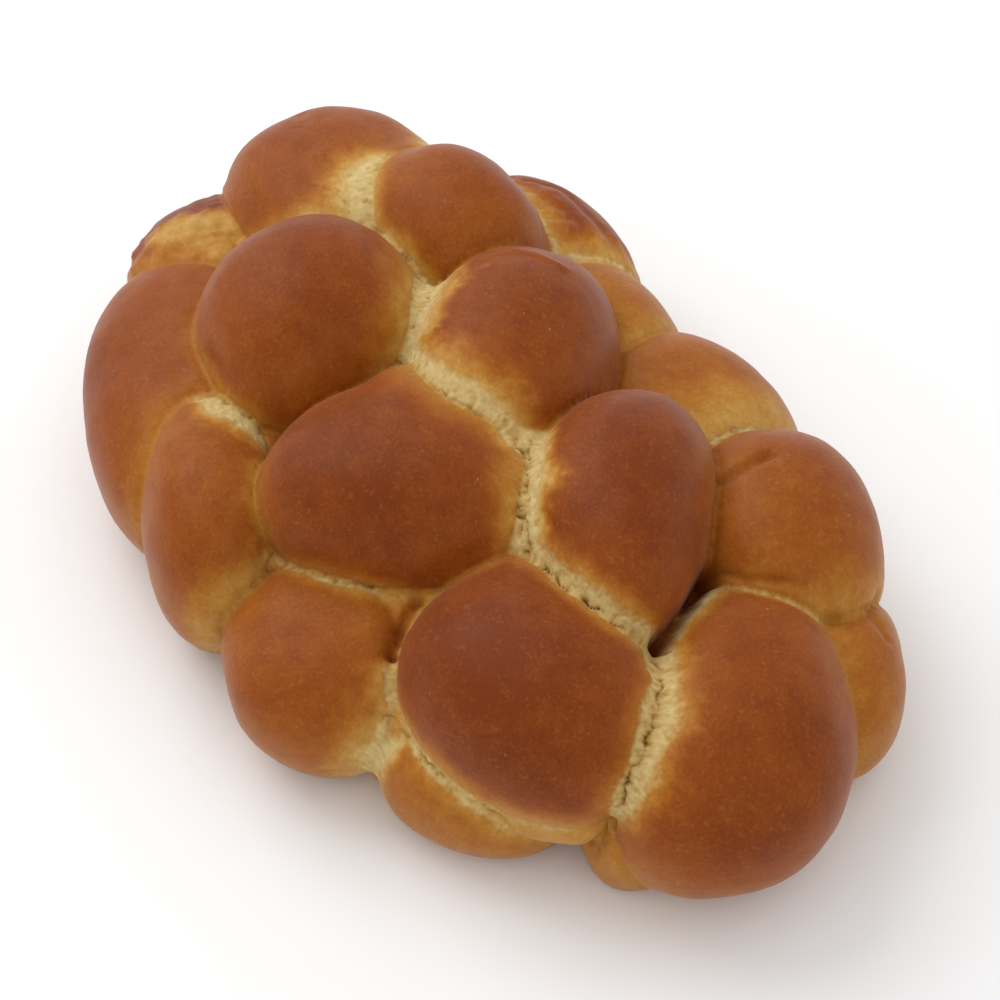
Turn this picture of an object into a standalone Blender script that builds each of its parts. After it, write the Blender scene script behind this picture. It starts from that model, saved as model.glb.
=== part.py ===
"""Braided loaf: one solid of baked dough, built as the crowded swells of plaited strands.

The tables are in millimetres and the model in metres. The origin is at the middle of the
loaf's box, on the table. +X runs along the loaf from its low far end to its plump near end,
+Y runs across it and +Z is up.
"""

from collections import namedtuple
from math import atan2, exp, pi, radians

import bmesh
import bpy
from mathutils import Euler, Matrix, Vector

MM = 0.001

# Driving dimensions, in millimetres where they are lengths.
PUFFINESS = 2.25  # exponent of a swell's outline: 2 is an ellipsoid, more is fuller
WIDE, NARROW = 38, 16  # how far round a swell its peaks spread, in degrees
BALL_SUBDIVISIONS = 5
SINK = 4.0  # how far a resting swell would sink into the table, before it is trimmed flat
SKIN_PITCH = 1.6  # voxel size at which the swells are fused into one skin
SKIN_TRIANGLES = 8600
TABLE_BLOCK = (400.0, 300.0, 60.0)  # block that trims what would sink into the table

# A swell is one pass of a strand over its neighbours. `at` is its centre, `half` its half
# sizes along, across and up, `turn` its yaw in degrees, and `rests` whether it reaches the
# table. A peak draws its outline out towards a corner: (bearing, share added, spread).
Swell = namedtuple("Swell", "name at half turn rests peaks", defaults=((),))

IL2_PEAKS = ((-70, 0.07, WIDE), (-38, 0.19, WIDE))
IL3_PEAKS = ((152, 0.17, WIDE), (160, 0.28, NARROW), (-100, 0.10, WIDE))
IL4_PEAKS = ((154, 0.11, WIDE), (166, 0.16, NARROW))
IR3_PEAKS = ((-18, 0.15, WIDE), (-60, -0.17, WIDE), (-14, 0.09, NARROW))
IR4_PEAKS = ((-62, 0.26, WIDE),)
OL0_PEAKS = ((113, 0.16, WIDE),)
OL3_PEAKS = ((165, 0.07, WIDE),)

INNER_LEFT = (
    Swell("inner_left_1", (-107, 3, 44), (39, 33, 25), 13, False),
    Swell("inner_left_2", (-59, -24, 47), (32, 31, 35), -75, False, IL2_PEAKS),
    Swell("inner_left_3", (10, -22, 50), (28, 37, 25), -40, False, IL3_PEAKS),
    Swell("inner_left_4", (78, -14, 39), (37, 28, 28), 29, False, IL4_PEAKS),
)
INNER_RIGHT = (
    Swell("inner_right_1", (-77, 25, 46), (32, 25, 32), 11, False),
    Swell("inner_right_2", (-21, 20, 48), (41, 29, 33), -37, False),
    Swell("inner_right_3", (39, 26, 49), (39, 26, 31), -35, False, IR3_PEAKS),
    Swell("inner_right_4", (99, 34, 31), (40, 30, 28), -23, True, IR4_PEAKS),
)
OUTER_LEFT = (
    Swell("outer_left_0", (-107, -36, 26), (30, 29, 25), -20, True, OL0_PEAKS),
    Swell("outer_left_1", (-61, -54, 29), (56, 37, 27), -13, True),
    Swell("outer_left_2", (-21, -67, 30), (38, 20, 29), -16, True),
    Swell("outer_left_3", (35, -50, 26), (31, 32, 20), -8, True, OL3_PEAKS),
    Swell("outer_left_4", (74, -25, 17), (29, 26, 21), 44, True),
)
OUTER_RIGHT = (
    Swell("outer_right_0", (-79, 52, 26), (36, 26, 26), 14, True),
    Swell("outer_right_1", (-39, 51, 28), (32, 27, 26), 6, True),
    Swell("outer_right_2", (0, 62, 28), (36, 31, 26), 18, True),
    Swell("outer_right_3", (53, 67, 34), (35, 28, 31), -17, True),
    Swell("outer_right_4", (86, 64, 22), (28, 23, 23), -22, True),
)
# The pinched strand ends, which are tucked under.
TUCKS = (
    Swell("far_tuck", (-115, 16, 25), (24, 34, 26), 0, True),
    Swell("near_tuck", (107, 0, 20), (14, 12, 12), 0, True),
)
# The dough at the heart of the plait, and what it settles into on the baking tray.
HEART = (
    Swell("heart", (-1, 2, 26), (116, 60, 26), 0, False),
    Swell("base", (-13, 2, 12), (114, 70, 20), 0, False),
    Swell("near_base", (66, 36, 12), (40, 32, 20), -20, False),
)
SWELLS = INNER_LEFT + INNER_RIGHT + OUTER_LEFT + OUTER_RIGHT + TUCKS + HEART

CRUST_BROWN = (0.36, 0.13, 0.04, 1.0)
CRUST_ROUGHNESS = 0.42


def drawn_out(peaks, bearing):
    """How far a swell's outline is drawn out at a bearing, as a factor."""
    factor = 1.0
    for peak, share, spread in peaks:
        off = (bearing - radians(peak) + pi) % (2 * pi) - pi
        factor += share * exp(-((off / radians(spread)) ** 2))
    return factor


def add_swell(dough, swell):
    """Adds one closed, puffed ball to the dough: a superellipsoid with the swell's peaks.

    The lower half of a swell that rests on the table is drawn down to just under it.
    """
    centre = Vector(swell.at)
    turn_and_size = Matrix.LocRotScale(
        None, Euler((0, 0, radians(swell.turn))), Vector(swell.half)
    )
    stretch = (swell.at[2] + SINK) / swell.half[2] if swell.rests else 1.0
    ball = bmesh.ops.create_icosphere(dough, subdivisions=BALL_SUBDIVISIONS, radius=1)
    for vertex in ball["verts"]:
        reach = sum(abs(part) ** PUFFINESS for part in vertex.co) ** (1 / PUFFINESS)
        spot = turn_and_size @ (vertex.co / reach)
        factor = drawn_out(swell.peaks, atan2(spot.y, spot.x))
        spot.x *= factor
        spot.y *= factor
        if spot.z < 0:
            spot.z *= stretch
        vertex.co = (centre + spot) * MM


def centre_on_origin(mesh):
    """Moves the mesh level, so that the middle of its box is over the origin."""
    for axis in (0, 1):
        places = [vertex.co[axis] for vertex in mesh.vertices]
        shift = Vector((0, 0, 0))
        shift[axis] = -(min(places) + max(places)) / 2
        mesh.transform(Matrix.Translation(shift))


def crust_material():
    material = bpy.data.materials.new("crust")
    material.use_nodes = True
    surface = material.node_tree.nodes["Principled BSDF"]
    surface.inputs["Base Color"].default_value = CRUST_BROWN
    surface.inputs["Roughness"].default_value = CRUST_ROUGHNESS
    surface.inputs["Metallic"].default_value = 0.0
    return material


def add_object(name, shape):
    """Turns a bmesh into an object in the scene."""
    mesh = bpy.data.meshes.new(name)
    shape.to_mesh(mesh)
    shape.free()
    placed = bpy.data.objects.new(name, mesh)
    bpy.context.scene.collection.objects.link(placed)
    return placed


def triangle_count(thing):
    """How many triangles the object has with its modifiers."""
    evaluated = thing.evaluated_get(bpy.context.evaluated_depsgraph_get())
    mesh = evaluated.to_mesh()
    mesh.calc_loop_triangles()
    count = len(mesh.loop_triangles)
    evaluated.to_mesh_clear()
    return count


def table_block():
    """The cutter under the resting face, with its top at Z = 0."""
    block = bmesh.new()
    sides = Vector(TABLE_BLOCK) * MM
    place = Matrix.LocRotScale(Vector((0, 0, -sides.z / 2)), None, sides)
    bmesh.ops.create_cube(block, size=1, matrix=place)
    cutter = add_object("table_block", block)
    cutter.hide_render = True
    cutter.display_type = "WIRE"
    return cutter


def build_loaf():
    """Fuses the swells into one skin, thins it and trims it flat where it rests."""
    dough = bmesh.new()
    for swell in SWELLS:
        add_swell(dough, swell)
    loaf = add_object("loaf", dough)
    centre_on_origin(loaf.data)
    loaf.data.materials.append(crust_material())

    skin = loaf.modifiers.new("skin", "REMESH")
    skin.mode = "VOXEL"
    skin.voxel_size = SKIN_PITCH * MM

    thin = loaf.modifiers.new("thin", "DECIMATE")
    thin.use_collapse_triangulate = True
    thin.ratio = SKIN_TRIANGLES / triangle_count(loaf)

    rest = loaf.modifiers.new("rest", "BOOLEAN")
    rest.operation = "DIFFERENCE"
    rest.solver = "EXACT"
    rest.object = table_block()
    return loaf


for old in list(bpy.data.objects):
    bpy.data.objects.remove(old)
build_loaf()
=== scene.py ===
"""Braided loaf, browned and torn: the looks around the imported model.

The tables and the fields worked out from them are in millimetres, with the same axes as the
model. Meshes are in metres.
"""

from collections import namedtuple
from math import cos, radians, sin

import bmesh
import bpy
import numpy as np
from mathutils import Euler, Matrix, Vector


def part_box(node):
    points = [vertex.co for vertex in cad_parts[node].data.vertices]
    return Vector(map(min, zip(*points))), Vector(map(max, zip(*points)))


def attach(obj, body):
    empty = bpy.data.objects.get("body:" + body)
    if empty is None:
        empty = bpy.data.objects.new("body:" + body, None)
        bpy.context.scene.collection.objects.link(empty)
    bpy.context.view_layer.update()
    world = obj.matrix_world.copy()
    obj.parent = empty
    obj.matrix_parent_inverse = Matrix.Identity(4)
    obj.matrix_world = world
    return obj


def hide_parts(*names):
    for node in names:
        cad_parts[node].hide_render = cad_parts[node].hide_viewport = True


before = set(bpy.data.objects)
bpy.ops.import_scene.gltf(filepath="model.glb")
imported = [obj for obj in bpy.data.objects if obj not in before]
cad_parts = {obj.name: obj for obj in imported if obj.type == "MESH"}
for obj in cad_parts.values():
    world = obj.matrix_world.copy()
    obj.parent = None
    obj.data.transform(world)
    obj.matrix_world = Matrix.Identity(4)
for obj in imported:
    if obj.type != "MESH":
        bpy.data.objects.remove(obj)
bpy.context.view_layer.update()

MM = 0.001
LOAF_LOW, LOAF_HIGH = (np.array(corner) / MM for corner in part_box("loaf"))

# Form of the swells, as in the solid.
PUFFINESS = 2.25  # exponent of a swell's outline: 2 is an ellipsoid, more is fuller
WIDE, NARROW = 38, 16  # how far round a swell its peaks spread, in degrees
BALL_SUBDIVISIONS = 5
SINK = 4.0  # how far a resting swell would sink into the table

# Fineness of the skin.
SKIN_PITCH = 2.1  # voxel size of the first skin
PROBE = 0.05  # step at which a field's slope is measured
SEAM_SOFTNESS = 1.2  # how far two swells' looks run into each other
SQUEEZE = 0.8  # how much the fibres beside a seam are drawn out across it
SQUEEZE_REACH = 18.0  # and how far from the seam

# A swell is one pass of a strand. `at` is its centre, `half` its half sizes along, across and
# up, `turn` its yaw in degrees, `rests` whether it reaches the table, and `tone` how brown it
# is. A peak draws its outline out towards a corner: (bearing, share added, spread).
Swell = namedtuple("Swell", "name at half turn rests tone peaks", defaults=((),))

IL2_PEAKS = ((-70, 0.07, WIDE), (-38, 0.19, WIDE))
IL3_PEAKS = ((152, 0.17, WIDE), (160, 0.28, NARROW), (-100, 0.10, WIDE))
IL4_PEAKS = ((154, 0.11, WIDE), (166, 0.16, NARROW))
IR3_PEAKS = ((-18, 0.15, WIDE), (-60, -0.17, WIDE), (-14, 0.09, NARROW))
IR4_PEAKS = ((-62, 0.26, WIDE),)
OL0_PEAKS = ((113, 0.16, WIDE),)
OL3_PEAKS = ((165, 0.07, WIDE),)

SWELLS = (
    Swell("inner_left_1", (-107, 3, 44), (39, 33, 25), 13, False, 0.86),
    Swell("inner_left_2", (-59, -24, 47), (32, 31, 35), -75, False, 0.90, IL2_PEAKS),
    Swell("inner_left_3", (10, -22, 50), (28, 37, 25), -40, False, 0.97, IL3_PEAKS),
    Swell("inner_left_4", (78, -14, 39), (37, 28, 28), 29, False, 1.00, IL4_PEAKS),
    Swell("inner_right_1", (-77, 25, 46), (32, 25, 32), 11, False, 0.86),
    Swell("inner_right_2", (-21, 20, 48), (41, 29, 33), -37, False, 0.92),
    Swell("inner_right_3", (39, 26, 49), (39, 26, 31), -35, False, 0.96, IR3_PEAKS),
    Swell("inner_right_4", (99, 34, 31), (40, 30, 28), -23, True, 0.91, IR4_PEAKS),
    Swell("outer_left_0", (-107, -36, 26), (30, 29, 25), -20, True, 1.12, OL0_PEAKS),
    Swell("outer_left_1", (-61, -54, 29), (56, 37, 27), -13, True, 0.90),
    Swell("outer_left_2", (-21, -67, 30), (38, 20, 29), -16, True, 0.85),
    Swell("outer_left_3", (35, -50, 26), (31, 32, 20), -8, True, 0.83, OL3_PEAKS),
    Swell("outer_left_4", (74, -25, 17), (29, 26, 21), 44, True, 0.78),
    Swell("outer_right_0", (-79, 52, 26), (36, 26, 26), 14, True, 1.00),
    Swell("outer_right_1", (-39, 51, 28), (32, 27, 26), 6, True, 0.66),
    Swell("outer_right_2", (0, 62, 28), (36, 31, 26), 18, True, 0.72),
    Swell("outer_right_3", (53, 67, 34), (35, 28, 31), -17, True, 0.80),
    Swell("outer_right_4", (86, 64, 22), (28, 23, 23), -22, True, 0.70),
    Swell("far_tuck", (-115, 16, 25), (24, 34, 26), 0, True, 0.85),
    Swell("near_tuck", (107, 0, 20), (14, 12, 12), 0, True, 0.70),
    Swell("heart", (-1, 2, 26), (116, 60, 26), 0, False, 0.55),
    Swell("base", (-13, 2, 12), (114, 70, 20), 0, False, 0.7),
    Swell("near_base", (66, 36, 12), (40, 32, 20), -20, False, 0.7),
    Swell("flap", (-100, -38, 43), (10, 8, 9), 0, False, 0.35),
    Swell("crumb_1", (-46, 2, 54), (13, 9, 12), 0, False, 0.04),
    Swell("crumb_2", (29, 5, 53), (19, 8, 10), -25, False, 0.3),
    Swell("crumb_3", (13, 9, 57), (9, 8, 9), 0, False, 0.1),
    Swell("crumb_4", (-112, -38, 43), (15, 6, 8), 68, False, 0.3),
)
NAMES = [swell.name for swell in SWELLS]
# Torn crumb between swells, and how torn it is.
CRUMB_PADS = {"crumb_1": 1.0, "crumb_2": 1.0, "crumb_3": 1.0, "crumb_4": 0.35}

# A flank is the side of a swell beside one of its neighbours. Torn crumb reaches `crumb` from
# the seam, the skin beyond it browns over `gold` from how brown it is at the `seam` (0 is pale
# and 1 is full), and folds of height `folds` run down it.
Flank = namedtuple("Flank", "of beside crumb gold seam folds", defaults=(0.0, 0.0))
FLANKS = (
    Flank("inner_left_1", "inner_right_1", 6, 10, 0.15),
    Flank("inner_left_1", "inner_left_2", 0.5, 14, 0.15),
    Flank("inner_left_1", "outer_left_0", 0, 4, 0.72),
    Flank("inner_right_1", "inner_left_1", 1, 7, 0.3),
    Flank("inner_right_1", "inner_left_2", 1, 8, 0.25),
    Flank("inner_right_1", "inner_right_2", 0, 3, 0.7),
    Flank("inner_right_1", "outer_right_0", 0, 4, 0.6),
    Flank("inner_left_2", "inner_right_1", 0, 9, 0.4, 0.4),
    Flank("inner_left_2", "inner_right_2", 0, 17, 0.32, 0.6),
    Flank("inner_left_2", "outer_left_1", 0, 9, 0.6),
    Flank("inner_left_2", "outer_left_2", 0, 8, 0.6),
    Flank("inner_left_2", "crumb_1", 1, 14, 0.3),
    Flank("inner_right_2", "inner_left_2", 9, 12, 0.15),
    Flank("inner_right_2", "inner_left_3", 7, 11, 0.35, 0.3),
    Flank("inner_right_2", "inner_right_1", 0, 8, 0.75),
    Flank("inner_left_3", "inner_right_2", 0, 13, 0.5),
    Flank("inner_left_3", "inner_right_3", 1.5, 15, 0.4, 0.8),
    Flank("inner_left_3", "inner_left_4", 0, 4, 0.85),
    Flank("inner_left_3", "outer_left_3", 0, 9, 0.55),
    Flank("inner_left_3", "inner_left_2", 0, 14, 0.75),
    # Painted highlight: this row keeps inner_left_3's left shoulder paler, for the sheen of light on it.
    Flank("inner_left_3", "outer_left_2", 0, 16, 0.7),
    Flank("inner_left_3", "crumb_3", 3, 8, 0.3),
    Flank("inner_right_3", "inner_left_3", 8, 9, 0.15),
    Flank("inner_right_3", "inner_left_4", 6, 8, 0.5),
    Flank("inner_right_3", "inner_right_4", 0, 2, 0.5),
    # Painted highlight: this row keeps inner_right_3's right shoulder paler, for the light along it.
    Flank("inner_right_3", "outer_right_3", 0, 14, 0.8),
    Flank("inner_left_4", "inner_right_3", 0.5, 8, 0.45),
    Flank("inner_left_4", "inner_right_4", 3, 7, 0.6),
    Flank("inner_left_4", "outer_left_4", 1, 11, 0.4),
    Flank("inner_left_4", "inner_left_3", 0, 9, 0.6),
    Flank("inner_left_4", "heart", 0.5, 10, 0.4),
    Flank("inner_right_4", "inner_left_4", 6.5, 8, 0.5),
    Flank("inner_right_4", "inner_right_3", 4.5, 6, 0.45, 0.4),
    Flank("inner_right_4", "outer_right_3", 0.5, 4, 0.5),
    Flank("inner_right_4", "outer_right_4", 0, 8, 0.6),
    Flank("inner_right_4", "near_tuck", 0, 14, 0.7),
    Flank("outer_left_0", "inner_left_1", 0, 6, 0.55, 0.6),
    Flank("outer_left_0", "inner_left_2", 6, 12, 0.2, 1.0),
    Flank("outer_left_0", "outer_left_1", 0, 12, 0.5, 0.8),
    Flank("outer_left_0", "crumb_4", 0, 9, 0.3, 0.5),
    Flank("outer_left_1", "inner_left_2", 0, 4, 0.72, 0.5),
    Flank("outer_left_1", "outer_left_2", 0, 6, 0.7),
    Flank("outer_left_1", "outer_left_0", 0, 4, 0.85),
    Flank("outer_left_2", "inner_left_2", 6, 6, 0.4),
    Flank("outer_left_2", "inner_left_3", 0, 5, 0.5, 0.4),
    Flank("outer_left_2", "outer_left_3", 0, 18, 0.35, 0.9),
    Flank("outer_left_2", "outer_left_1", 0, 4, 0.7),
    Flank("outer_left_3", "inner_left_3", 1.5, 5, 0.5),
    Flank("outer_left_3", "inner_left_4", 0.5, 7, 0.35, 0.7),
    Flank("outer_left_3", "outer_left_4", 3, 14, 0.25),
    Flank("outer_left_3", "outer_left_2", 0, 5, 0.65),
    Flank("outer_left_4", "inner_left_4", 2, 5, 0.6),
    Flank("outer_left_4", "outer_left_3", 6, 5, 0.25),
    Flank("outer_right_0", "inner_right_1", 2, 12, 0.35, 0.9),
    Flank("outer_right_0", "outer_right_1", 1.5, 10, 0.25, 0.5),
    Flank("outer_right_1", "outer_right_0", 0, 6, 0.4),
    Flank("outer_right_1", "outer_right_2", 0, 7, 0.5),
    Flank("outer_right_2", "outer_right_3", 1.5, 26, 0.36),
    # Partly painted shade: this row browns outer_right_3 towards inner_right_4, also for the shade of the gap between
    # them.
    Flank("outer_right_3", "inner_right_4", 0, 8, 0.75, 0.6),
    Flank("outer_right_3", "outer_right_4", 0, 16, 0.5),
    Flank("outer_right_4", "inner_right_4", 0, 6, 0.8),
    Flank("outer_right_4", "outer_right_3", 0, 4, 0.75, 0.4),
    Flank("near_tuck", "inner_right_4", 0, 5, 0.9),
    Flank("crumb_4", "inner_left_2", 0, 1, 1.0, 1.2),
    Flank("crumb_4", "inner_left_1", 0, 1, 1.0, 1.2),
    Flank("heart", "inner_left_4", 0, 6, 0.6),
    Flank("heart", "inner_left_3", 0, 6, 0.6),
)
SLOW_BROWNING = 30  # how far in from the seams a swell goes on browning
SLOW_SHARE = 0.16  # and how much of its brown that adds

# A spot shifts one swell's browning round a place: `more` than 0 opens the tear wider there,
# less than 0 lets brown skin close over it.
Spot = namedtuple("Spot", "of at radius more")
SPOTS = (
    Spot("inner_left_1", (-107, 20, 69), 12, -12),
    Spot("inner_left_1", (-95, 8, 67), 9, 4),
    Spot("inner_right_1", (-98, 24, 68), 12, -6),
    Spot("inner_right_2", (10, 15, 67), 8, -7),
    Spot("inner_right_3", (62, 22, 62), 12, -3),
    Spot("inner_right_3", (19, 22, 74), 9, -6),
    Spot("inner_left_4", (46, -6, 62), 10, 1.5),
    Spot("inner_left_4", (92, 2, 56), 14, 1.5),
    Spot("inner_left_4", (112, -10, 30), 5, -4),
    Spot("inner_right_4", (118, -7, 29), 7, -9),
    Spot("outer_left_0", (-108, -40, 50), 9, 4),
    Spot("outer_left_0", (-100, -38, 51), 5, -6),
    Spot("outer_left_0", (-123, -32, 49), 7, -7),
    Spot("outer_left_0", (-126, -46, 45), 7, -3),
    Spot("outer_left_2", (-34, -58, 55), 12, 2),
    Spot("outer_left_3", (62, -47, 40), 8, 3),
)

# How much dough fills the valley between two swells, and how deep a crack runs along it.
Valley = namedtuple("Valley", "one other fill crack", defaults=(0.0,))
VALLEYS = (
    Valley("outer_left_0", "flap", 3),
    Valley("outer_left_0", "crumb_4", 5),
    Valley("inner_left_2", "inner_left_3", 5),
    Valley("inner_left_1", "inner_right_1", 7),
    Valley("inner_left_1", "inner_left_2", 4),
    Valley("inner_right_1", "inner_left_2", 5, 0.6),
    Valley("inner_left_2", "inner_right_2", 7),
    Valley("inner_right_2", "inner_left_3", 4, 0.6),
    Valley("inner_left_3", "inner_right_3", 6, 0.7),
    Valley("inner_right_3", "inner_left_4", 4, 1.3),
    Valley("inner_left_4", "inner_right_4", 4.5, 0.8),
    Valley("inner_left_2", "outer_left_2", 4, 1.2),
    Valley("outer_left_0", "inner_left_1", 7),
    Valley("outer_left_0", "inner_left_2", 7),
    Valley("inner_left_3", "outer_left_3", 4, 0.8),
    Valley("inner_left_3", "outer_left_2", 5),
    Valley("outer_left_3", "outer_left_4", 6),
    Valley("inner_left_4", "outer_left_4", 4, 0.8),
    Valley("inner_left_3", "inner_left_4", 5),
    Valley("inner_right_4", "near_tuck", 9),
    Valley("outer_right_0", "inner_right_1", 6),
    Valley("outer_right_2", "outer_right_3", 3, 0.8),
    Valley("inner_left_3", "crumb_2", 6),
    Valley("inner_right_2", "crumb_2", 6),
    Valley("inner_right_3", "crumb_2", 7, 0.8),
    Valley("inner_left_3", "crumb_3", 4),
    Valley("inner_right_2", "crumb_3", 4),
    Valley("inner_right_3", "crumb_3", 4),
    Valley("crumb_2", "crumb_3", 6),
    Valley("inner_left_2", "crumb_1", 5),
    Valley("inner_right_1", "crumb_1", 5),
    Valley("inner_right_2", "crumb_1", 8),
)
CREASE_FILL = 2.6  # fill of the valleys that aren't listed
FOOT_ROUNDING = 3.0  # how much the edge of the underside is rounded
GROOVE = 1.1  # how deep the creases between swells are pressed in
GROOVE_WIDTH = 1.3

# A crease is a line pressed into the skin along a few points; a depth less than 0 is a ridge.
SHADED_DEPTH = 4.0  # a deeper crease is a gap between two swells, painted dark brown inside as shade
UPRIGHT = (1.0, 1.0, 0.4)  # creases go into the dough upright
Crease = namedtuple("Crease", "depth width points")
CREASES = (
    Crease(2.4, 1.8, ((43, 54, 61), (43, 60, 63), (42, 68, 64))),
    Crease(7.0, 1.6, ((41, -31, 44), (44, -36, 42), (48, -40, 41), (52, -43, 41))),
    Crease(1.2, 3.0, ((-134, -1, 60), (-126, -3, 66), (-114, -4, 68))),
    Crease(10.0, 1.9, ((65, 41, 50), (70, 35, 52), (75, 29, 52), (83, 19, 53))),
    Crease(0.8, 1.6, ((-69, -65, 61), (-62, -63, 62), (-59, -61, 62))),
    Crease(0.6, 1.5, ((-59, -71, 61), (-55, -66, 62))),
    Crease(1.4, 1.8, ((-55, -60, 62), (-49, -58, 61), (-44, -57, 61), (-40, -57, 59))),
    Crease(1.8, 1.1, ((86, 65, 45), (88, 72, 42), (86, 77, 41), (83, 80, 40), (80, 83, 40))),
    Crease(0.9, 1.0, ((87, 77, 41), (89, 79, 40), (93, 79, 39))),
    Crease(2.2, 1.4, ((113, -7, 33), (113, -9, 28), (113, -10, 24), (110, -12, 18))),
    Crease(0.8, 1.2, ((115, -7, 31), (118, -7, 30), (120, -7, 28))),
    Crease(1.3, 0.9, ((65, 43, 51), (68, 44, 53), (72, 47, 54), (75, 51, 56), (80, 60, 55))),
    Crease(0.8, 1.8, ((-90, 54, 51), (-80, 60, 51), (-70, 62, 51), (-62, 61, 49))),
    Crease(0.7, 1.6, ((-98, 56, 49), (-90, 65, 48), (-72, 69, 47), (-60, 70, 44))),
    Crease(-0.8, 1.6, ((-42, 16, 76), (-43, 23, 76), (-42, 30, 76), (-38, 35, 77), (-31, 40, 76))),
)

# Noise, from a shuffled table of slopes.
rng = np.random.default_rng(11)
SHUFFLE = rng.permutation(256)
SLOPES = rng.normal(size=(256, 3))
SLOPES /= np.linalg.norm(SLOPES, axis=1, keepdims=True)
NOISE_GAIN = 1.6  # brings gradient noise to about -1..1


def noise(points):
    """Smooth gradient noise with features one unit wide."""
    cell = np.floor(points).astype(int)
    part = points - cell
    ease = part**3 * (part * (part * 6 - 15) + 10)
    total = np.zeros(len(points))
    for corner in np.ndindex(2, 2, 2):
        x, y, z = (cell + corner).T & 255
        slope = SLOPES[SHUFFLE[(SHUFFLE[(SHUFFLE[x] + y) & 255] + z) & 255]]
        share = np.where(corner, ease, 1 - ease).prod(axis=1)
        total += share * (slope * (part - corner)).sum(axis=1)
    return NOISE_GAIN * total


def smooth_step(low, high, value):
    """0 below low, 1 above high and an easy slope between them."""
    share = np.clip((value - low) / (high - low), 0, 1)
    return share * share * (3 - 2 * share)


def drawn_out(peaks, bearing):
    """How far a swell's outline is drawn out at each bearing, as a factor."""
    factor = np.ones_like(bearing)
    for peak, share, spread in peaks:
        off = (bearing - radians(peak) + np.pi) % (2 * np.pi) - np.pi
        factor += share * np.exp(-((off / radians(spread)) ** 2))
    return factor


def sunk(swell):
    """How much the lower half of a swell is drawn down, as a factor."""
    return (swell.at[2] + SINK) / swell.half[2] if swell.rests else 1.0


def ball(swell):
    """The vertices and faces of one closed, puffed ball."""
    shape = bmesh.new()
    bmesh.ops.create_icosphere(shape, subdivisions=BALL_SUBDIVISIONS, radius=1)
    points = np.array([vertex.co for vertex in shape.verts])
    faces = [[vertex.index for vertex in face.verts] for face in shape.faces]
    shape.free()
    points /= (np.abs(points) ** PUFFINESS).sum(axis=1, keepdims=True) ** (1 / PUFFINESS)
    points *= swell.half
    points = points @ np.array(Euler((0, 0, radians(swell.turn))).to_matrix()).T
    points[:, :2] *= drawn_out(swell.peaks, np.arctan2(points[:, 1], points[:, 0]))[:, None]
    points[:, 2] *= np.where(points[:, 2] < 0, sunk(swell), 1.0)
    return points + swell.at, faces


def distances(points):
    """How far outside each swell the points are, one column a swell; less than 0 inside."""
    columns = []
    for swell in SWELLS:
        off = points - swell.at
        reach = np.linalg.norm(off, axis=1)
        level = off[:, :2] / drawn_out(swell.peaks, np.arctan2(off[:, 1], off[:, 0]))[:, None]
        turn = radians(swell.turn)
        along = (cos(turn) * level[:, 0] + sin(turn) * level[:, 1]) / swell.half[0]
        across = (cos(turn) * level[:, 1] - sin(turn) * level[:, 0]) / swell.half[1]
        up = off[:, 2] / swell.half[2] / np.where(off[:, 2] < 0, sunk(swell), 1.0)
        parts = np.abs([along, across, up]) ** PUFFINESS
        size = np.maximum(parts.sum(axis=0) ** (1 / PUFFINESS), 1e-3)
        columns.append(reach * (1 - 1 / size))
    return np.stack(columns, axis=1)


def pair_table(rows, default, value):
    """A square table of a value for each pair of swells."""
    table = np.full((len(SWELLS), len(SWELLS)), default)
    for row in rows:
        one, other = NAMES.index(row.one), NAMES.index(row.other)
        table[one, other] = table[other, one] = value(row)
    return table


FILL = pair_table(VALLEYS, CREASE_FILL, lambda row: row.fill)


def depth(points):
    """The loaf's own field: 0 on the skin, less than 0 in the dough."""
    apart = distances(points)
    order = np.argpartition(apart, 3, axis=1)[:, :3]
    near = np.take_along_axis(apart, order, axis=1)
    level = near.min(axis=1)
    for one, other in ((0, 1), (0, 2), (1, 2)):
        fill = FILL[order[:, one], order[:, other]]
        close = np.clip(fill - np.abs(near[:, one] - near[:, other]), 0, None)
        lower = np.minimum(near[:, one], near[:, other])
        level = np.minimum(level, lower - close**2 / (4 * fill))
    under = -points[:, 2]
    close = np.clip(FOOT_ROUNDING - np.abs(level - under), 0, None)
    return np.maximum(level, under) + close**2 / (4 * FOOT_ROUNDING)


def slope(points, level):
    """How the loaf's field changes along each axis."""
    steps = np.eye(3) * PROBE
    return np.stack([(depth(points + step) - level) / PROBE for step in steps], axis=1)


def settle(points):
    """Moves the points onto the skin, and returns them with its outward directions."""
    for _ in range(3):
        level = depth(points)
        steep = slope(points, level)
        points = points - steep * (level / (steep**2).sum(axis=1))[:, None]
    outward = steep / np.linalg.norm(steep, axis=1, keepdims=True)
    return points, outward


def relax(points, edges, rounds):
    """Evens out the points: each moves half way to the middle of its neighbours."""
    one, other = edges.T
    count = len(points)
    links = np.bincount(one, minlength=count) + np.bincount(other, minlength=count)
    for _ in range(rounds):
        middle = np.empty_like(points)
        for axis in range(3):
            place = points[:, axis]
            middle[:, axis] = np.bincount(one, place[other], count)
            middle[:, axis] += np.bincount(other, place[one], count)
        points = (points + middle / links[:, None]) / 2
    return points


def vertex_places(mesh):
    flat = np.empty(len(mesh.vertices) * 3, dtype=np.float32)
    mesh.vertices.foreach_get("co", flat)
    return flat.reshape(-1, 3).astype(float)


def edge_ends(mesh):
    flat = np.empty(len(mesh.edges) * 2, dtype=np.int32)
    mesh.edges.foreach_get("vertices", flat)
    return flat.reshape(-1, 2)


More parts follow.
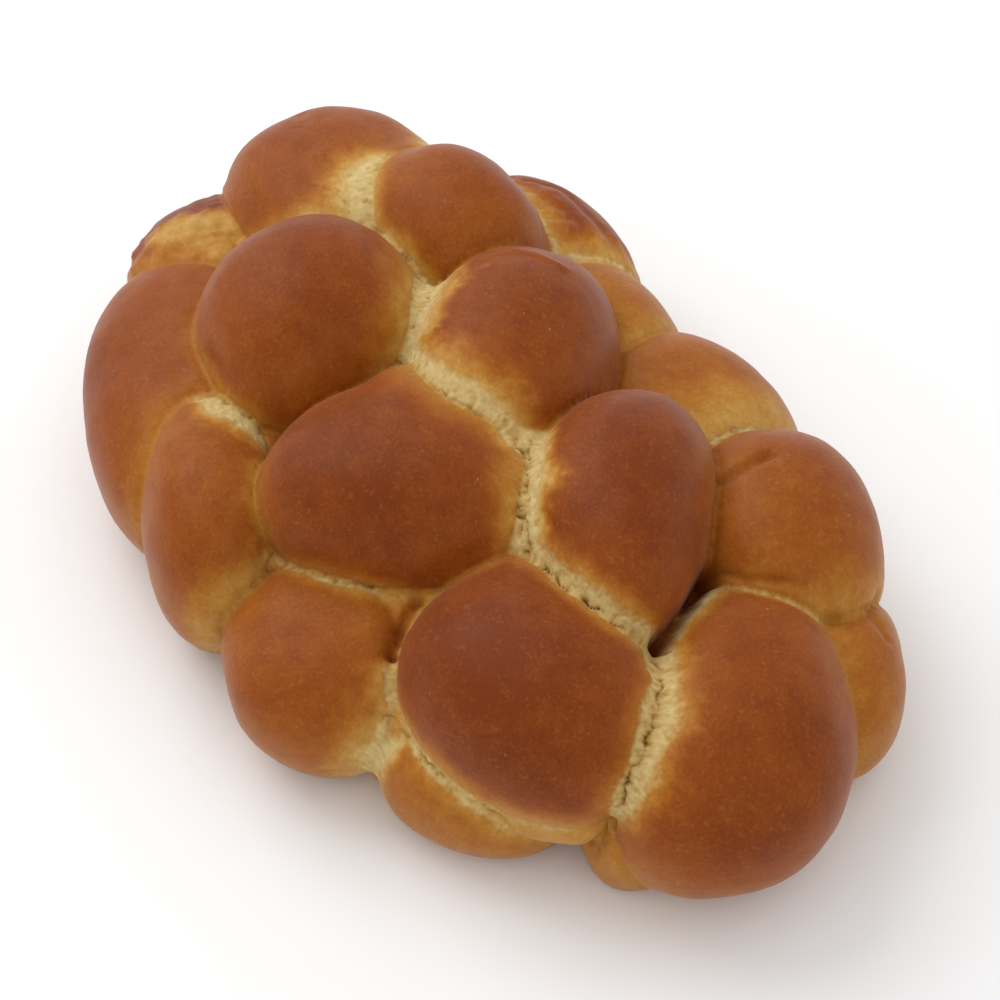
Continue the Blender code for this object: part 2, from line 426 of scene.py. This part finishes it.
def first_skin():
    """The swells fused into one even skin, as a mesh in millimetres."""
    points, faces = [], []
    for swell in SWELLS:
        some, flat = ball(swell)
        start = sum(len(part) for part in points)
        points.append(some)
        faces += [[start + index for index in face] for face in flat]
    points = np.concatenate(points)
    middle = (points.min(axis=0) + points.max(axis=0)) / 2
    mesh = bpy.data.meshes.new("dough")
    mesh.from_pydata(points, [], faces)
    dough = bpy.data.objects.new("dough", mesh)
    bpy.context.scene.collection.objects.link(dough)
    skin = dough.modifiers.new("skin", "REMESH")
    skin.mode = "VOXEL"
    skin.voxel_size = SKIN_PITCH
    evaluated = dough.evaluated_get(bpy.context.evaluated_depsgraph_get())
    fused = bpy.data.meshes.new_from_object(evaluated)
    bpy.data.objects.remove(dough)
    return fused, middle


def line_distance(points, line):
    """How far the points are from a line through a few places."""
    nearest = np.full(len(points), np.inf)
    for start, end in zip(line[:-1], line[1:]):
        start, way = np.array(start, float), np.subtract(end, start)
        share = np.clip((points - start) @ way / (way @ way), 0, 1)
        off = points - start - share[:, None] * way
        nearest = np.minimum(nearest, np.linalg.norm(off, axis=1))
    return nearest


def ridged(points):
    """Noise with sharp ridges, about -1..1."""
    return 1 - 2.4 * np.abs(noise(points))


def drawn_places(swell, points, apart):
    """The points squeezed towards the swell's seams, so noise there runs across the seams."""
    own = apart[:, NAMES.index(swell.name)]
    total = np.zeros((len(points), 3))
    weight = np.ones(len(points))
    for row in FLANKS:
        if row.of == swell.name:
            beside = SWELLS[NAMES.index(row.beside)]
            across = np.subtract(beside.at, swell.at)
            gap = apart[:, NAMES.index(row.beside)] - own
            near = 1 - smooth_step(3, SQUEEZE_REACH, gap)
            total += np.outer(near * gap / 2, across / np.linalg.norm(across))
            weight += near
    return points + SQUEEZE * total / np.maximum(weight - 1, 1)[:, None]


def widened(points, swell):
    """How much further the crumb of a swell reaches at each point."""
    more = np.zeros(len(points))
    for spot in SPOTS:
        if spot.of == swell.name:
            off = np.linalg.norm(points - spot.at, axis=1)
            more += spot.more * np.exp(-((off / spot.radius) ** 2))
    return more


def swell_finish(swell, points, apart):
    """How brown and how torn one swell is, how far its folds lift it, and its drawn places."""
    own = apart[:, NAMES.index(swell.name)]
    places = drawn_places(swell, points, apart)
    ragged = 0.9 * noise(points / 6) + 0.5 * noise(points / 2 + 30)
    uneven = 1 + 0.25 * noise(points / 11 + 3)
    coarse, fine = noise(places / 2.6), noise(places / 1.5 + 20)
    pleats = noise(places / 4.5)
    more = widened(points, swell)
    brown = np.ones(len(points))
    torn = np.full(len(points), CRUMB_PADS.get(swell.name, 0.0))
    folds = np.zeros(len(points))
    for row in FLANKS:
        if row.of != swell.name:
            continue
        gap = apart[:, NAMES.index(row.beside)] - own
        reach = gap * (uneven + 0.014 * row.crumb * coarse) + ragged - more
        pulled = reach + 0.07 * gap * (coarse + fine)
        toward = smooth_step(row.crumb, row.crumb + row.gold, pulled)
        brown = np.minimum(brown, row.seam + (1 - row.seam) * toward)
        if row.crumb:
            torn = np.maximum(torn, 1 - smooth_step(0.5 * row.crumb, 1.3 * row.crumb + 0.6, reach))
        if row.folds:
            window = smooth_step(0, 4, gap) * (1 - smooth_step(8, 16, gap))
            folds += row.folds * window * pleats
    return np.column_stack([brown * swell.tone, torn, folds, places])


def finish(points, apart):
    """The looks of the whole loaf at the points, soft from swell to swell."""
    lowest = apart.min(axis=1)
    total = np.zeros((len(points), 6))
    weight = np.zeros((len(points), 1))
    for index, swell in enumerate(SWELLS):
        share = 1 - (apart[:, index] - lowest) / SEAM_SOFTNESS
        near = np.flatnonzero(share > 0)
        if len(near):
            values = swell_finish(swell, points[near], apart[near])
            total[near] += share[near, None] * values
            weight[near] += share[near, None]
    brown, torn, folds, *places = (total / weight).T
    return brown, torn, folds, np.stack(places, axis=1)


def subdivided(mesh, chosen):
    """Splits the edges of the chosen faces in two, and those faces in four."""
    shape = bmesh.new()
    shape.from_mesh(mesh)
    shape.faces.ensure_lookup_table()
    picked = {edge for index in chosen for edge in shape.faces[index].edges}
    bmesh.ops.subdivide_edges(shape, edges=list(picked), cuts=1, use_grid_fill=True)
    rest = [face for face in shape.faces if len(face.verts) > 4]
    bmesh.ops.triangulate(shape, faces=rest)
    shape.to_mesh(mesh)
    shape.free()


def face_middles(mesh):
    flat = np.empty(len(mesh.polygons) * 3, dtype=np.float32)
    mesh.polygons.foreach_get("center", flat)
    return flat.reshape(-1, 3).astype(float)


def put_back(mesh, points):
    mesh.vertices.foreach_set("co", points.astype(np.float32).ravel())
    mesh.update()


def loaf_skin():
    """The loaf's fine skin, in millimetres, denser where it is torn or creased."""
    mesh, middle = first_skin()
    points = vertex_places(mesh)
    edges = edge_ends(mesh)
    for _ in range(2):
        points, _ = settle(points)
        points = relax(points, edges, 3)
    points, _ = settle(points)
    put_back(mesh, points)

    middles = face_middles(mesh)
    apart = distances(middles)
    pair = np.sort(apart, axis=1)[:, :2]
    _, torn, _, _ = finish(middles, apart)
    creased = pair[:, 1] - pair[:, 0] < 3.5
    for crease in CREASES:
        creased |= line_distance(middles, crease.points) < 2 * crease.width
    subdivided(mesh, np.flatnonzero((creased | (torn > 0.02)) & (middles[:, 2] > 8)))

    middles = face_middles(mesh)
    apart = distances(middles)
    pair = np.sort(apart, axis=1)[:, :2]
    _, torn, _, _ = finish(middles, apart)
    creased = pair[:, 1] - pair[:, 0] < 1.3
    subdivided(mesh, np.flatnonzero((creased | (torn > 0.25)) & (middles[:, 2] > 16)))
    return mesh, middle


def crack_depth(points, apart):
    """How deep the cracks along the valleys are at each point."""
    deep = np.zeros(len(points))
    wander = noise(points / 3.5) + 0.3 * noise(points / 1.3)
    along = smooth_step(-0.45, 0.3, noise(points / 7 + 50))
    for row in VALLEYS:
        if not row.crack:
            continue
        one, other = NAMES.index(row.one), NAMES.index(row.other)
        near = np.maximum(apart[:, one], apart[:, other])
        gap = apart[:, one] - apart[:, other] + 1.6 * wander
        line = np.exp(-((gap / 0.4) ** 2)) * (near < 8)
        deep = np.maximum(deep, row.crack * line * along)
    return deep


def loaf_piece():
    mesh, middle = loaf_skin()
    points, outward = settle(vertex_places(mesh))
    apart = distances(points)
    brown, torn, folds, places = finish(points, apart)
    pair = np.sort(apart, axis=1)[:, :2]
    gap = pair[:, 1] - pair[:, 0]
    brown = brown * (1 - SLOW_SHARE * (1 - smooth_step(0, SLOW_BROWNING, gap)))
    brown = brown * (0.72 + 0.28 * smooth_step(4, 44, points[:, 2]))
    brown = brown + 0.04 * noise(points / 22 + 5) + 0.02 * noise(points / 6 + 60)
    bare = smooth_step(0.3, 0.7, torn)
    deep = crack_depth(points, apart)
    flat = smooth_step(1.0, 8.0, points[:, 2])

    # Near the bottom of a valley: the crumb there is lowered and given painted shade.
    low = 1 - smooth_step(0, 3.5, gap)
    pits = smooth_step(0.5 - 0.25 * low, 0.95 - 0.15 * low, noise(points / 1.7 + 12))
    fibres = 0.45 * ridged(places / 1.7) + 0.55 * ridged(places / 3.6 + 9)
    crumb = 0.18 * fibres + 0.12 * noise(points / 1.0 + 40) - 0.45 * pits - 0.3 * low - 0.3
    skin = 0.45 * noise(points / 16 + 3) + 0.12 * noise(points / 5 + 9)
    skin -= GROOVE * (1 - bare) * np.exp(-((gap / GROOVE_WIDTH) ** 2))
    lift = (skin + folds + bare * crumb - deep) * flat
    pressed = np.zeros_like(points)
    for crease in CREASES:
        line = np.multiply(crease.points, UPRIGHT)
        off = line_distance(points * UPRIGHT, line) + 0.3 * noise(points / 3 + 70)
        share = np.exp(-((off / crease.width) ** 2))
        way = share @ outward
        pressed += crease.depth * np.outer(share, way / np.linalg.norm(way))
        # A gap deeper than SHADED_DEPTH is painted dark brown inside, over any crumb: painted shade in the gap.
        if crease.depth > SHADED_DEPTH:
            torn = torn * (1 - share)
            brown = brown + (1.05 - brown) * share
    points = points + outward * lift[:, None] - pressed
    points[:, 2] = np.maximum(points[:, 2], 0)

    shift = (LOAF_LOW + LOAF_HIGH) / 2 - middle
    shift[2] = LOAF_LOW[2]
    put_back(mesh, (points + shift) * MM)
    # How dark the bare crumb is: painted shade where it lies lower (in its pits, its cracks, between its fibres and at
    # the bottoms of the valleys), and browner crumb beside browner skin.
    crumb_tone_and_painted_shade = np.clip(0.05 - crumb - 0.1 * fibres + 0.8 * deep + 0.75 * brown, 0, 2)
    for name, values in (("brown", brown), ("torn", torn), ("crumb_tone_and_painted_shade", crumb_tone_and_painted_shade)):
        layer = mesh.attributes.new(name, "FLOAT", "POINT")
        layer.data.foreach_set("value", values.astype(np.float32))
    layer = mesh.attributes.new("drawn", "FLOAT_VECTOR", "POINT")
    layer.data.foreach_set("vector", (places * MM).astype(np.float32).ravel())
    mesh.shade_smooth()
    mesh.name = "loaf_crust"
    piece = bpy.data.objects.new("loaf_crust", mesh)
    bpy.context.scene.collection.objects.link(piece)
    return piece


class Nodes:
    """Short words for building a material's nodes."""

    def __init__(self, name):
        self.material = bpy.data.materials.new(name)
        self.material.use_nodes = True
        self.tree = self.material.node_tree
        self.shader = self.tree.nodes["Principled BSDF"]

    def add(self, kind, inputs=(), **settings):
        """A node of a kind, with its settings and its inputs' values or links."""
        node = self.tree.nodes.new(kind)
        for key, value in settings.items():
            setattr(node, key, value)
        for key, value in dict(inputs).items():
            self.feed(node.inputs[key], value)
        return node

    def feed(self, socket, value):
        if isinstance(value, bpy.types.NodeSocket):
            self.tree.links.new(value, socket)
        else:
            socket.default_value = value

    def attribute(self, name, output="Fac"):
        return self.add("ShaderNodeAttribute", attribute_name=name).outputs[output]

    def sum(self, one, other):
        return self.add("ShaderNodeMath", {0: one, 1: other}, operation="ADD").outputs[0]

    def product(self, one, other):
        return self.add("ShaderNodeMath", {0: one, 1: other}, operation="MULTIPLY").outputs[0]

    def band(self, value, low, high, to_low=0.0, to_high=1.0):
        inputs = {"Value": value, 1: low, 2: high, 3: to_low, 4: to_high}
        return self.add("ShaderNodeMapRange", inputs).outputs[0]

    def noise(self, scale, detail=2.0, place=None):
        if place is None:
            place = self.add("ShaderNodeTexCoord").outputs["Object"]
        inputs = {"Vector": place, "Scale": scale, "Detail": detail}
        return self.add("ShaderNodeTexNoise", inputs).outputs["Fac"]

    def blister_glints(self, scale, size):
        """Small sparse dots: 1 at the middle of each, 0 between them."""
        place = self.add("ShaderNodeTexCoord").outputs["Object"]
        cells = self.add("ShaderNodeTexVoronoi", {"Vector": place, "Scale": scale})
        return self.band(cells.outputs["Distance"], size, 2 * size, 1.0, 0.0)

    def mix(self, share, one, other):
        inputs = {"Factor": share, 6: one, 7: other}
        return self.add("ShaderNodeMix", inputs, data_type="RGBA").outputs[2]

    def ramp(self, value, stops):
        node = self.add("ShaderNodeValToRGB", {"Fac": value})
        elements = node.color_ramp.elements
        for place, color in stops[1:-1]:
            elements.new(place).color = (*color, 1)
        elements[0].position, elements[0].color = stops[0][0], (*stops[0][1], 1)
        elements[-1].position, elements[-1].color = stops[-1][0], (*stops[-1][1], 1)
        return node.outputs["Color"]


def srgb(red, green, blue):
    """A colour as the screen shows it, 0 to 255, made linear."""
    parts = (red / 255, green / 255, blue / 255)
    return tuple(c / 12.92 if c <= 0.04045 else ((c + 0.055) / 1.055) ** 2.4 for c in parts)


BAKE = (
    (0.0, srgb(206, 176, 112)),
    (0.2, srgb(188, 142, 68)),
    (0.4, srgb(174, 116, 40)),
    (0.6, srgb(159, 92, 24)),
    (0.8, srgb(141, 69, 11)),
    (1.0, srgb(115, 48, 4)),
)
CRUMB = (
    (0.0, srgb(211, 190, 134)),
    (0.4, srgb(193, 165, 105)),
    (0.7, srgb(168, 130, 68)),
    (1.0, srgb(114, 76, 32)),
)


def crust_material():
    nodes = Nodes("baked_crust")
    brown = nodes.attribute("brown")
    torn = nodes.attribute("torn")
    crumb_tone_and_painted_shade = nodes.attribute("crumb_tone_and_painted_shade")
    drawn = nodes.attribute("drawn", "Vector")
    mottle = nodes.band(nodes.noise(160, 5), 0.3, 0.7, -0.045, 0.045)
    fine = nodes.band(nodes.noise(1100, 2), 0.3, 0.7, -0.045, 0.045)
    streaks = nodes.band(nodes.noise(420, 3, drawn), 0.3, 0.7, -0.06, 0.06)
    pale = nodes.band(brown, 0.4, 0.9, 1.0, 0.1)
    streaks = nodes.product(streaks, pale)
    skin = nodes.ramp(nodes.sum(nodes.sum(nodes.sum(brown, mottle), fine), streaks), BAKE)
    # Painted highlights: pale dots for the light that small blisters catch, in patches.
    blister_glints = nodes.blister_glints(130, 0.028)
    strength = nodes.band(nodes.noise(60, 1), 0.4, 0.65, 0.0, 0.35)
    blister_glints = nodes.product(blister_glints, strength)
    skin = nodes.mix(blister_glints, skin, (*srgb(224, 170, 120), 1))
    fibres = nodes.band(nodes.noise(650, 6, drawn), 0.35, 0.65, -0.16, 0.16)
    # Bare crumb, darker by its own tone and its painted shade, with fibres.
    crumb = nodes.ramp(nodes.sum(nodes.product(crumb_tone_and_painted_shade, 0.6), fibres), CRUMB)
    fray = nodes.band(nodes.noise(700, 4, drawn), 0.35, 0.65, -0.16, 0.16)
    bare = nodes.band(nodes.sum(torn, fray), 0.1, 0.9)
    nodes.feed(nodes.shader.inputs["Base Color"], nodes.mix(bare, skin, crumb))
    nodes.feed(nodes.shader.inputs["Roughness"], nodes.band(bare, 0, 1, 0.42, 0.85))
    nodes.shader.inputs["Specular IOR Level"].default_value = 0.12
    nodes.shader.inputs["Sheen Weight"].default_value = 0.07
    nodes.shader.inputs["Sheen Roughness"].default_value = 0.45
    relief = nodes.mix(bare, nodes.product(nodes.noise(1300, 3), 0.45), nodes.product(nodes.noise(800, 4, drawn), 0.55))
    bump = nodes.add("ShaderNodeBump", {"Height": relief, "Strength": 0.6, "Distance": 0.0004})
    nodes.feed(nodes.shader.inputs["Normal"], bump.outputs["Normal"])
    return nodes.material


# Camera: how far it stands, the bearing and height that it looks from, and where it looks.
CAMERA_DISTANCE = 0.750
CAMERA_BEARING = radians(-22)
CAMERA_RISE = radians(48)
CAMERA_AIM = Vector((0.0141, 0.0024, 0.040))
CAMERA_LENS = 99.9


def toward(bearing, rise):
    return Vector((cos(rise) * cos(bearing), cos(rise) * sin(bearing), sin(rise)))


def place_camera():
    data = bpy.data.cameras.new("camera")
    data.lens = CAMERA_LENS
    camera = bpy.data.objects.new("camera", data)
    back = toward(CAMERA_BEARING, CAMERA_RISE)
    camera.location = CAMERA_AIM + back * CAMERA_DISTANCE
    camera.rotation_euler = back.to_track_quat("Z", "Y").to_euler()
    bpy.context.scene.collection.objects.link(camera)
    bpy.context.scene.camera = camera


def area_light(name, bearing, rise, distance, size, power):
    data = bpy.data.lights.new(name, "AREA")
    data.shape = "DISK"
    data.size = size
    data.energy = power
    lamp = bpy.data.objects.new(name, data)
    way = toward(radians(bearing), radians(rise))
    lamp.location = way * distance
    lamp.rotation_euler = way.to_track_quat("Z", "Y").to_euler()
    bpy.context.scene.collection.objects.link(lamp)


def place_floor():
    shape = bmesh.new()
    bmesh.ops.create_grid(shape, x_segments=1, y_segments=1, size=3.0)
    mesh = bpy.data.meshes.new("floor")
    shape.to_mesh(mesh)
    shape.free()
    floor = bpy.data.objects.new("floor", mesh)
    bpy.context.scene.collection.objects.link(floor)
    nodes = Nodes("pale_floor")
    tint = nodes.ramp(nodes.noise(3), ((0, (0.93, 0.93, 0.93)), (1, (0.96, 0.96, 0.96))))
    nodes.feed(nodes.shader.inputs["Base Color"], tint)
    nodes.shader.inputs["Roughness"].default_value = 0.9
    mesh.materials.append(nodes.material)


def light_the_scene():
    world = bpy.data.worlds.new("studio")
    world.use_nodes = True
    back = world.node_tree.nodes["Background"]
    back.inputs["Color"].default_value = (1, 1, 1, 1)
    back.inputs["Strength"].default_value = 0.86
    bpy.context.scene.world = world
    area_light("key", 205, 50, 1.4, 1.2, 8)
    bpy.context.scene.view_settings.view_transform = "Standard"


crust = loaf_piece()
crust.data.materials.clear()
crust.data.materials.append(crust_material())
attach(crust, "root")
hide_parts("loaf")
place_floor()
place_camera()
light_the_scene()
